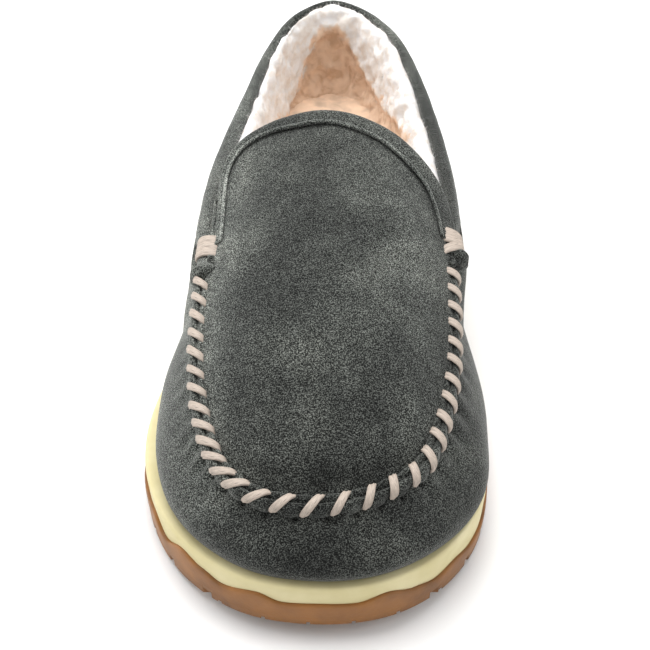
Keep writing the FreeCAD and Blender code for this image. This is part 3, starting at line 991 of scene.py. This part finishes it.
def fibre_template(rng):
    """One curled fibre as a thin closed spike, pointing along Z."""
    bm = bmesh.new()
    bmesh.ops.create_cone(bm, cap_ends=True, segments=3, radius1=1.0, radius2=0.35, depth=1.0)
    bmesh.ops.subdivide_edges(bm, edges=[e for e in bm.edges
                                         if abs(e.verts[0].co.z - e.verts[1].co.z) > 0.5],
                              cuts=1)
    way = rng.uniform(0, 2 * math.pi)
    for vert in bm.verts:
        share = vert.co.z + 0.5
        curl = 0.42 * share**1.6
        vert.co.z = share * (1 - 0.3 * share)
        vert.co.x = vert.co.x * 0.035 + math.cos(way) * curl
        vert.co.y = vert.co.y * 0.035 + math.sin(way) * curl
    mesh = bpy.data.meshes.new("fibre")
    bm.to_mesh(mesh)
    bm.free()
    mesh.calc_loop_triangles()
    points = np.array([v.co for v in mesh.vertices])
    faces = np.array([t.vertices for t in mesh.loop_triangles])
    bpy.data.meshes.remove(mesh)
    return points, faces


def scatter_fibres(bm, count, length, seed, wanted=None):
    """Stand curled fibres on a pile's surface, each a scaled and turned copy of a template."""
    rng = random.Random(seed)
    noise.seed_set(seed)  # unseeded, noise_vector would start from the clock
    templates = [fibre_template(rng) for _ in range(6)]
    bm.normal_update()
    faces = [f for f in bm.faces if wanted is None or wanted(f)]
    areas = np.cumsum([f.calc_area() for f in faces])
    points, triangles, total = [], [], 0
    for _ in range(count):
        face = faces[int(np.searchsorted(areas, rng.random() * areas[-1]))]
        weights = [rng.random() for _ in face.verts]
        weight = sum(weights)
        root = sum((v.co * (w / weight) for v, w in zip(face.verts, weights)), Vector())
        lean = Vector([rng.gauss(0, 0.55) for _ in range(3)])
        clump = noise.noise_vector(root / 0.006) * 0.8
        way = (face.normal + lean + clump).normalized()
        turn = way.to_track_quat("Z", "X").to_matrix()
        shape, tris = templates[rng.randrange(len(templates))]
        size = length * rng.uniform(0.6, 1.15)
        placed_points = (shape * size) @ np.array(turn).T + np.array(root - face.normal * 0.0003)
        points.append(placed_points)
        triangles.append(tris + total)
        total += len(shape)
    return np.concatenate(points), np.concatenate(triangles)


def join_fibres(piece, points, triangles):
    """Add the fibres to a pile's mesh as one object."""
    mesh = bpy.data.meshes.new(piece.name + "_fibres")
    mesh.from_pydata(points.tolist(), [], triangles.tolist())
    mesh.shade_smooth()
    bm = bmesh.new()
    bm.from_mesh(piece.data)
    bm.from_mesh(mesh)
    bm.to_mesh(piece.data)
    bm.free()
    bpy.data.meshes.remove(mesh)
    piece.data.shade_smooth()


def pile_piece(bm, name, node, finish, count, length, seed, share=None):
    """Clumpy fleece: roll its surface into tufts, then stand fibres on it."""
    roughen(bm, 0.0016, 0.0072, 2, seed, share)
    roughen(bm, 0.0006, 0.0026, 1, seed + 3, share)
    points, triangles = scatter_fibres(bm, count, length, seed)
    piece = finish_piece(bm, name, node, material_of(finish))
    join_fibres(piece, points, triangles)
    return piece


PILE_PROFILE = [
    (0.0, 0.0), (0.12, 0.14), (0.24, 0.34), (0.34, 0.56), (0.40, 0.76), (0.47, 0.93), (0.60, 1.03),
    (0.78, 1.06), (0.93, 1.02), (1.03, 0.93), (1.05, 0.80),
]


def make_quarter_lining(sizes):
    """The pile round the heel and sides, thick at the footbed and rolling out at the topline."""
    route = Line(TOPLINE)
    foot = Line(PILE_FOOT)
    profile = Line(PILE_PROFILE)
    insets = np.array(BAND_INSETS)
    heel_hollow = np.array(HOLLOW_EDGE_HEIGHTS)
    middle = route.nearest(*TOPLINE[len(TOPLINE) // 2][:2])
    heights = []

    def place(u, v):
        heights.append(v)
        share = u * 2 * middle if u < 0.5 else middle + (u - 0.5) * 2 * (1 - middle)
        top = route.at(share)
        tangent = route.tangent(min(max(share, 0.004), 0.996))
        out = level_right(tangent, -1.0)
        width = np.interp(share, insets[:, 0], insets[:, 1])
        rim = top + out * (TOPLINE_SPREAD - 3.9 * width)
        end = min(share, 1 - share) * route.length
        rim[2] -= 1.2 + 7.5 * ease((36.0 - end) / 22.0)
        rim[2] -= 1.2 * bell(u, 0.5, 0.1)
        low = foot.at(u)[:2]
        floor = midsole_top(low[1]) + 8.0
        across, rise = profile.at(v)
        x, y = low * (1 - across) + rim[:2] * across
        z = floor + (rim[2] - floor) * rise
        hollow = 2.6 * ease((np.interp(x + FOOT_LINE_X, heel_hollow[:, 0], heel_hollow[:, 1]) - z) / 5.0)
        hollow *= ease(v / 0.2)
        return placed(x + out[0] * hollow, y + out[1] * hollow, z)

    bm = sheet_mesh(380, 56, place)
    bm.verts.index_update()

    def looseness(vert):
        return 1.0 - 0.85 * ease((heights[vert.index] - 0.74) / 0.2)

    return pile_piece(bm, "collar_pile", "quarter_lining", "pile", 10600, sizes.fibre, 5, looseness)


def make_vamp_lining(sizes):
    """The pile inside the front of the wall, seen only through the throat."""
    surface = WallSurface(7.0)
    first, last = surface.front

    def place(u, v):
        share = first + (last - first) * u
        point, _ = surface.point(share, 0.1 + 0.66 * v, 5.2 + 2.2 * math.sin(math.pi * v) ** 0.5)
        return placed(*point)

    bm = sheet_mesh(220, 24, place)
    return pile_piece(bm, "vamp_pile", "vamp_lining", "inner_pile", 900, sizes.fibre, 8,
                      lambda vert: 0.5)


def make_plug_lining(sizes):
    """The pile under the plug, whose edge just shows behind the throat."""

    def place(u, angle):
        share = 0.08 + 0.84 * u
        start = SEAM_LINE.at(share)[:2] * (0.86, 1.0)
        end = THROAT_LINE.at(share) * (0.88, 1.0)
        side = math.cos(angle)
        across = 0.16 + 0.415 * (1 + side)
        x, y = start * (1 - across) + end * across
        top = plug_height(x, y)
        depth = 3.4 if math.sin(angle) > 0 else 7.4
        mid = 5.4 + (depth - 5.4) * abs(math.sin(angle)) ** 0.4
        return placed(x, y, top - mid)

    bm = tube_mesh(150, 72, place)
    return pile_piece(bm, "plug_pile", "plug_lining", "inner_pile", 1500, sizes.fibre, 9)


def sole_half_width(y, setback):
    """Left and right edge of the sole's outline at Y, less a setback."""
    points = SOLE.points
    heel = np.argmax(points[:, 1])
    ordered = np.roll(points[:-1], -heel, axis=0)
    toe = np.argmin(ordered[:, 1])
    inner, outer = ordered[:toe + 1], ordered[toe:]
    left = np.interp(y, inner[::-1, 1], inner[::-1, 0])
    right = np.interp(y, outer[:, 1], outer[:, 0])
    return left + setback, right - setback


def make_footbed(sizes):
    """The tan footbed cover, dished in the heel, with its short pile standing up."""
    setback = 12.0
    low, high = -148 + setback, 148 - setback

    def place(u, v):
        swing = 0.5 - 0.5 * math.cos(math.pi * v)
        y = low + (high - low) * swing
        stretch = 148.0 / (148.0 - setback)
        left, right = sole_half_width(y * stretch, 0)
        middle = (left + right) / 2
        half = (right - left) / 2 - setback
        side = (u * 2 - 1)
        x = middle + half * side
        dish = 3.0 * side**4 + 1.5 * abs(2 * swing - 1) ** 6
        return placed(x, y, midsole_top(y) + 9.5 + dish)

    bm = grid_mesh(120, 300, place)
    bmesh.ops.remove_doubles(bm, verts=bm.verts[:], dist=3e-5)
    bmesh.ops.recalc_face_normals(bm, faces=bm.faces[:])
    roughen(bm, 0.0005, 0.005, 3, 2.0)
    points, triangles = scatter_fibres(bm, 6000, sizes.fibre * 0.5, 21,
                                       lambda f: f.calc_center_median().y > 0.02)
    piece = finish_piece(bm, "footbed_pile", "footbed_cover", material_of("footbed"))
    join_fibres(piece, points, triangles)
    return piece


# Sole


def rim_height(share):
    """Height of the outsole's rim above its tread, in long humps, by share of the outline."""
    heights = np.array(RIM_HEIGHTS)
    i = min(int(np.searchsorted(heights[:, 0], share, side="right")) - 1, len(heights) - 2)
    (start, low), (end, high) = heights[i], heights[i + 1]
    return low + (high - low) * ease((share - start) / (end - start))


def make_midsole():
    """Foam with a rounded lip that stands out round the upper."""
    profile = [(2.6, 0.0), (1.0, 0.0), (0.9, 0.45), (0.8, 0.8), (1.1, 0.96), (2.0, 1.0), (4.0, 1.0),
               (9.0, 1.0)]
    line = Line(profile)

    def place(u, v):
        setback, share = line.at(v)
        spot = sole_edge(u, setback, 2.3)
        y = SOLE.at(u)[1]
        low = ground(y) + rim_height(u) - 2.5
        high = midsole_top(y)
        height = low + (high - low) * share
        return placed(spot[0], spot[1], height)

    bm = grid_mesh(600, 22, place, wrap=True)
    close_ends(bm)
    return finish_piece(bm, "midsole_foam", "midsole", material_of("foam"))


def make_outsole():
    """Gum rubber: a wavy rim lapping the foam, and bars of tread with grooves between."""
    base = 2.5
    profile = [(3.0, 0.15), (3.0, 0.9), (2.2, 1.0), (0.9, 0.99), (0.1, 0.9), (0.0, 0.5), (0.2, 0.0)]
    line = Line(profile)

    def place(u, v):
        setback, share = line.at(v)
        spot = sole_edge(u, setback, 2.6)
        y = SOLE.at(u)[1]
        low = ground(y) + base
        high = ground(y) + rim_height(u)
        height = low + (high - low) * share
        return placed(spot[0], spot[1], height)

    bm = grid_mesh(900, 20, place, wrap=True)
    close_ends(bm)
    cut_tread(bm)
    return finish_piece(bm, "gum_outsole", "outsole", material_of("gum"))


def cut_tread(bm):
    """Slice the underside across, and draw the strips between down into bars of tread."""
    pitch, width, first, count = 13.0, 2.2, -136.5, 22
    toe_first, toe_width, toe_count, toe_end = -33.0, 1.1, 6, -123.5

    def floor_faces():
        return [f for f in bm.faces if f.normal.z < -0.8 and f.calc_center_median().z < 0.012]

    def slice_floor(faces, spot, way):
        edges = dict.fromkeys(e for f in faces for e in f.edges)
        verts = dict.fromkeys(v for f in faces for v in f.verts)
        bmesh.ops.bisect_plane(bm, geom=[*faces, *edges, *verts], plane_co=spot, plane_no=way,
                               dist=1e-7)

    bm.normal_update()
    for i in range(count):
        for side in (-width / 2, width / 2):
            slice_floor(floor_faces(), (0, (first + pitch * i + side) * MM, 0), (0, 1, 0))
    for i in range(toe_count):
        for side in (-toe_width / 2, toe_width / 2):
            toe = [f for f in floor_faces() if f.calc_center_median().y < toe_end * MM]
            x = toe_first + pitch * i + side + FOOT_LINE_X
            slice_floor(toe, (x * MM, 0, 0), (1, 0, 0))
    bars, shallow = [], []
    for face in floor_faces():
        centre = face.calc_center_median() / MM
        x, y = centre.x - FOOT_LINE_X, centre.y
        row = round((y - first) / pitch)
        column = round((x - toe_first) / pitch)
        in_row = abs(y - first - pitch * row) < width / 2 and 0 <= row < count
        in_column = (abs(x - toe_first - pitch * column) < toe_width / 2 and y < toe_end
                     and 0 <= column < toe_count)
        if in_column:
            shallow.append(face)
        elif not in_row:
            bars.append(face)
    for faces, lift in ((bars, 0.0), (shallow, 0.9)):
        out = bmesh.ops.extrude_face_region(bm, geom=faces)
        for vert in [v for v in out["geom"] if isinstance(v, bmesh.types.BMVert)]:
            vert.co.z = (ground(vert.co.y / MM) + lift) * MM
        bmesh.ops.delete(bm, geom=faces, context="FACES")
    bmesh.ops.recalc_face_normals(bm, faces=bm.faces[:])


# ---------------------------------------------------------------------------- operators


class SLIPPER_OT_wall(bpy.types.Operator):
    """Model the suede wall and the strip over its back seam"""
    bl_idname = "slipper.wall"
    bl_label = "Suede Wall"

    def execute(self, context):
        sizes = context.scene.slipper_sizes
        make_wall(sizes)
        make_back_stay()
        return {"FINISHED"}


class SLIPPER_OT_plug(bpy.types.Operator):
    """Model the domed plug with its bound throat and piping"""
    bl_idname = "slipper.plug"
    bl_label = "Plug and Throat"

    def execute(self, context):
        sizes = context.scene.slipper_sizes
        make_plug(sizes)
        make_throat_band()
        make_throat_piping()
        return {"FINISHED"}


class SLIPPER_OT_seam(bpy.types.Operator):
    """Model the raised seam and the cord sewn over it"""
    bl_idname = "slipper.seam"
    bl_label = "Seam and Lacing"

    def execute(self, context):
        sizes = context.scene.slipper_sizes
        make_ridge(sizes)
        make_lacing(sizes)
        return {"FINISHED"}


class SLIPPER_OT_collar(bpy.types.Operator):
    """Model the collar's band and the cord wraps that tie down its ends"""
    bl_idname = "slipper.collar"
    bl_label = "Collar and Wraps"

    def execute(self, context):
        sizes = context.scene.slipper_sizes
        make_collar_band()
        make_wrap(sizes, outer=False)
        make_wrap(sizes, outer=True)
        return {"FINISHED"}


class SLIPPER_OT_pile(bpy.types.Operator):
    """Model the pile linings and the footbed's cover"""
    bl_idname = "slipper.pile"
    bl_label = "Pile and Footbed"

    def execute(self, context):
        sizes = context.scene.slipper_sizes
        make_quarter_lining(sizes)
        make_vamp_lining(sizes)
        make_plug_lining(sizes)
        make_footbed(sizes)
        return {"FINISHED"}


class SLIPPER_OT_sole(bpy.types.Operator):
    """Model the foam midsole and the gum rubber outsole"""
    bl_idname = "slipper.sole"
    bl_label = "Sole"

    def execute(self, context):
        make_midsole()
        make_outsole()
        return {"FINISHED"}


class SLIPPER_OT_inner_layers(bpy.types.Operator):
    """Give the boards and foam inside the shoe their finishes"""
    bl_idname = "slipper.inner_layers"
    bl_label = "Inner Layers"

    def execute(self, context):
        finishes = {"lasting_board": "board", "footbed_foam": "cushion", "heel_counter": "counter"}
        for node, key in finishes.items():
            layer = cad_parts[node]
            layer.data.materials.clear()
            layer.data.materials.append(material_of(key))
        return {"FINISHED"}


class SLIPPER_OT_stage(bpy.types.Operator):
    """Set the floor, the soft lights and the camera"""
    bl_idname = "slipper.stage"
    bl_label = "Stage"

    def execute(self, context):
        make_floor()
        make_lights()
        make_camera(context.scene)
        return {"FINISHED"}


def make_floor():
    bm = bmesh.new()
    bmesh.ops.create_grid(bm, x_segments=1, y_segments=1, size=6.0)
    mesh = bpy.data.meshes.new("floor")
    bm.to_mesh(mesh)
    bm.free()
    material, _, shader = new_material("pale_floor")
    shader.inputs["Base Color"].default_value = grey(0.9)
    shader.inputs["Roughness"].default_value = 0.9
    shader.inputs["Specular IOR Level"].default_value = 0.0
    mesh.materials.append(material)
    floor = bpy.data.objects.new("floor", mesh)
    bpy.context.scene.collection.objects.link(floor)


def area_light(name, place, aim, size, power):
    light = bpy.data.lights.new(name, "AREA")
    light.shape = "SQUARE"
    light.size = size
    light.energy = power
    lamp = bpy.data.objects.new(name, light)
    lamp.location = place
    lamp.rotation_euler = (Vector(aim) - Vector(place)).to_track_quat("-Z", "Y").to_euler()
    bpy.context.scene.collection.objects.link(lamp)


def make_lights():
    world = bpy.data.worlds.new("studio")
    world.use_nodes = True
    world.node_tree.nodes["Background"].inputs["Color"].default_value = (1, 1, 1, 1)
    world.node_tree.nodes["Background"].inputs["Strength"].default_value = 0.56
    bpy.context.scene.world = world
    area_light("top_softbox", (-0.12, 0.36, 1.25), (0, 0.03, 0.03), 1.0, 20.0)
    area_light("left_softbox", (-1.2, 0.15, 0.6), (0, 0, 0.03), 0.7, 5.5)
    area_light("right_softbox", (1.1, -0.1, 0.75), (0, 0.05, 0.03), 0.7, 3.4)


def make_camera(scene):
    elevation = math.radians(40.0)
    distance = 0.335
    aim = placed(-2.2, -43.8, 30.0)
    lens = bpy.data.cameras.new("camera")
    lens.sensor_width = 36.0
    lens.lens = LENS_LENGTH
    lens.clip_start = 0.01
    camera = bpy.data.objects.new("camera", lens)
    camera.location = aim + distance * Vector((0, -math.cos(elevation), math.sin(elevation)))
    camera.rotation_euler = (math.radians(90) - elevation, 0, 0)
    scene.collection.objects.link(camera)
    scene.camera = camera
    scene.view_settings.view_transform = "Standard"


class SLIPPER_PT_panel(bpy.types.Panel):
    """Sizes, colours and the operators that build the slipper"""
    bl_idname = "SLIPPER_PT_panel"
    bl_label = "Moccasin Slipper"
    bl_space_type = "VIEW_3D"
    bl_region_type = "UI"
    bl_category = "Slipper"

    def draw(self, context):
        layout = self.layout
        for group in (context.scene.slipper_sizes, context.scene.slipper_colours):
            box = layout.box()
            for key in group.__annotations__:
                box.prop(group, key)
        for operator in OPERATORS:
            layout.operator(operator.bl_idname)


OPERATORS = (
    SLIPPER_OT_stage, SLIPPER_OT_sole, SLIPPER_OT_wall, SLIPPER_OT_plug, SLIPPER_OT_seam,
    SLIPPER_OT_collar, SLIPPER_OT_pile, SLIPPER_OT_inner_layers,
)
CLASSES = (SlipperSizes, SlipperColours, *OPERATORS, SLIPPER_PT_panel)


def register():
    for cls in CLASSES:
        bpy.utils.register_class(cls)
    bpy.types.Scene.slipper_sizes = PointerProperty(type=SlipperSizes)
    bpy.types.Scene.slipper_colours = PointerProperty(type=SlipperColours)


def unregister():
    del bpy.types.Scene.slipper_colours
    del bpy.types.Scene.slipper_sizes
    for cls in reversed(CLASSES):
        bpy.utils.unregister_class(cls)


def main():
    register()
    bpy.ops.slipper.stage()
    bpy.ops.slipper.sole()
    bpy.ops.slipper.wall()
    bpy.ops.slipper.plug()
    bpy.ops.slipper.seam()
    bpy.ops.slipper.collar()
    bpy.ops.slipper.pile()
    bpy.ops.slipper.inner_layers()


if __name__ == "__main__":
    main()
